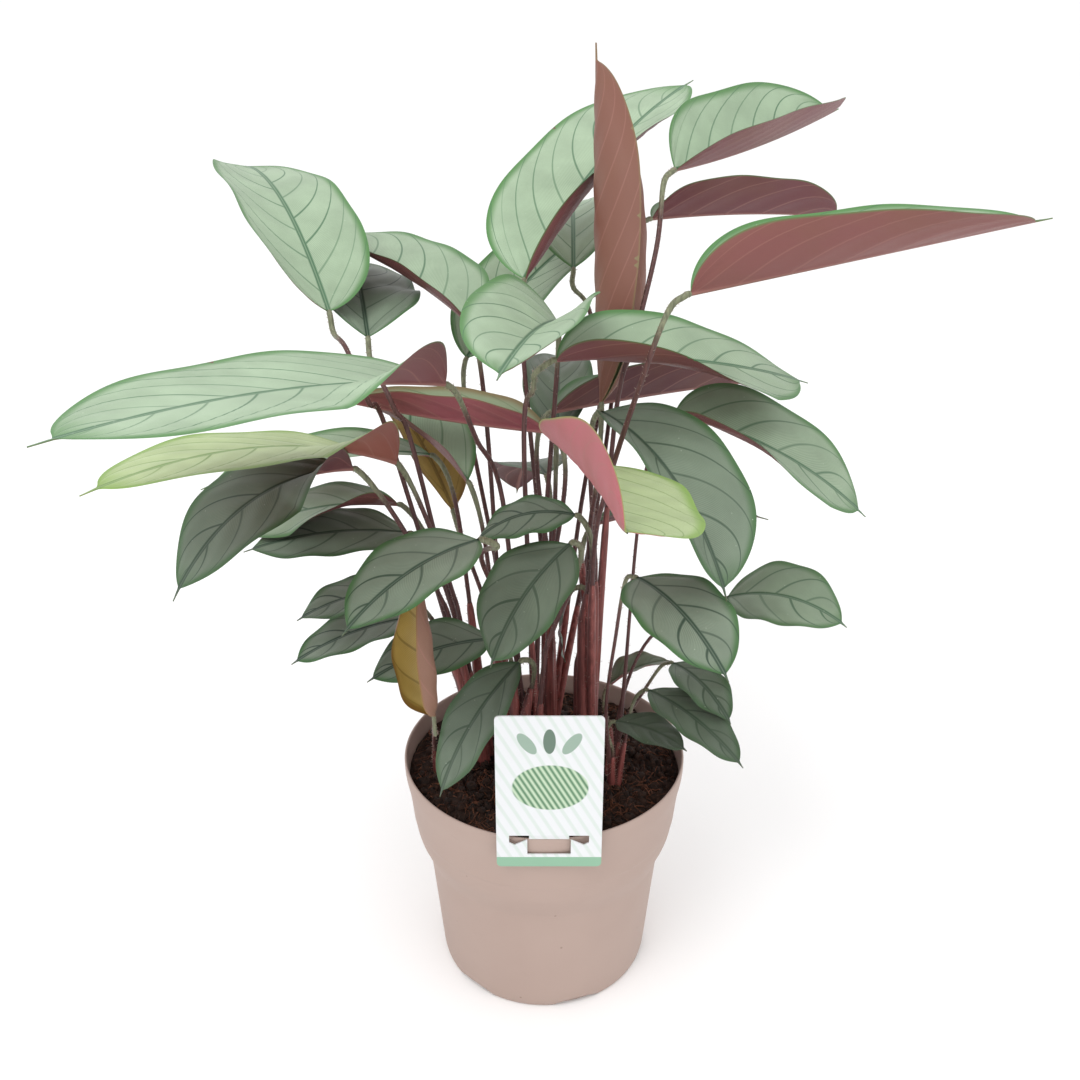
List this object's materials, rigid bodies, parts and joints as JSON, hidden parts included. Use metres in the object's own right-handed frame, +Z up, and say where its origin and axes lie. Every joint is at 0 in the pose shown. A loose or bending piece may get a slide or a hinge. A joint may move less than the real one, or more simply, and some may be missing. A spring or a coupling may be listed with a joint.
{
  "type": "potted plant",
  "caption": "Potted ctenanthe: long-stalked, pale and dark striped oblong leaves, some folded or rolled, in a shouldered nursery pot with soil and a plain tag.",
  "frame": {"origin": "middle of the pot's foot, on the surface it stands on", "axes": "+Z up along the pot's axis; -Y towards the front, the side that carries the tag; +X to the right seen from the front"},
  "size_m": [0.4407, 0.4977, 0.5414],
  "materials": {
    "pot_plastic": "matt, taupe, lightly scuffed",
    "soil_mix": "damp fibrous potting mix",
    "tag_card": "printed stiff plastic card",
    "stem": "satin, finely hairy",
    "leaf_sage": "satin leaf, finely striped",
    "leaf_shaded": "satin leaf, finely striped",
    "leaf_yellow_green": "satin leaf, finely striped",
    "leaf_maroon": "satin leaf, finely striped",
    "leaf_withered": "satin leaf, finely striped"
  },
  "bodies": {
    "root": {"label": "tag_card", "leaf_back_centre": "leaf_sage", "leaf_back_high": "leaf_sage", "leaf_back_low": "leaf_shaded", "leaf_back_mid": "leaf_shaded", "leaf_front_dark": "leaf_shaded", "leaf_front_drooping": "leaf_shaded", "leaf_front_heart": "leaf_sage", "leaf_front_left": "leaf_shaded", "leaf_front_right": "leaf_shaded", "leaf_front_yellow": "leaf_yellow_green", "leaf_grey_left": "leaf_shaded", "leaf_hanging_dark": "leaf_shaded", "leaf_inner_left": "leaf_sage", "leaf_inner_maroon": "leaf_maroon", "leaf_inner_pale": "leaf_shaded", "leaf_left_dark": "leaf_shaded", "leaf_left_dull_lower": "leaf_shaded", "leaf_left_dull_upper": "leaf_shaded", "leaf_left_long": "leaf_sage", "leaf_left_low_under": "leaf_shaded", "leaf_left_low_upper": "leaf_sage", "leaf_left_pale": "leaf_sage", "leaf_left_round": "leaf_shaded", "leaf_left_yellow": "leaf_yellow_green", "leaf_over_soil": "leaf_shaded", "leaf_right_behind": "leaf_sage", "leaf_right_hidden": "leaf_shaded", "leaf_right_long": "leaf_sage", "leaf_right_low": "leaf_sage", "leaf_right_mid": "leaf_sage", "leaf_right_under": "leaf_shaded", "leaf_right_upper": "leaf_sage", "leaf_rolled_old": "leaf_withered", "leaf_rolled_young": "leaf_maroon", "leaf_soil_maroon": "leaf_maroon", "leaf_soil_narrow": "leaf_shaded", "leaf_soil_right": "leaf_shaded", "leaf_soil_small": "leaf_shaded", "leaf_top_back": "leaf_sage", "leaf_top_left": "leaf_sage", "leaf_top_left_inner": "leaf_sage", "leaf_top_right": "leaf_sage", "leaf_withering": "leaf_withered", "pot": "pot_plastic", "shoot_back": "stem", "shoot_back_left": "stem", "shoot_front": "stem", "shoot_left": "stem", "shoot_main": "stem", "shoot_right": "stem", "shoot_rim": "stem", "soil": "soil_mix"}
  },
  "joints": []
}
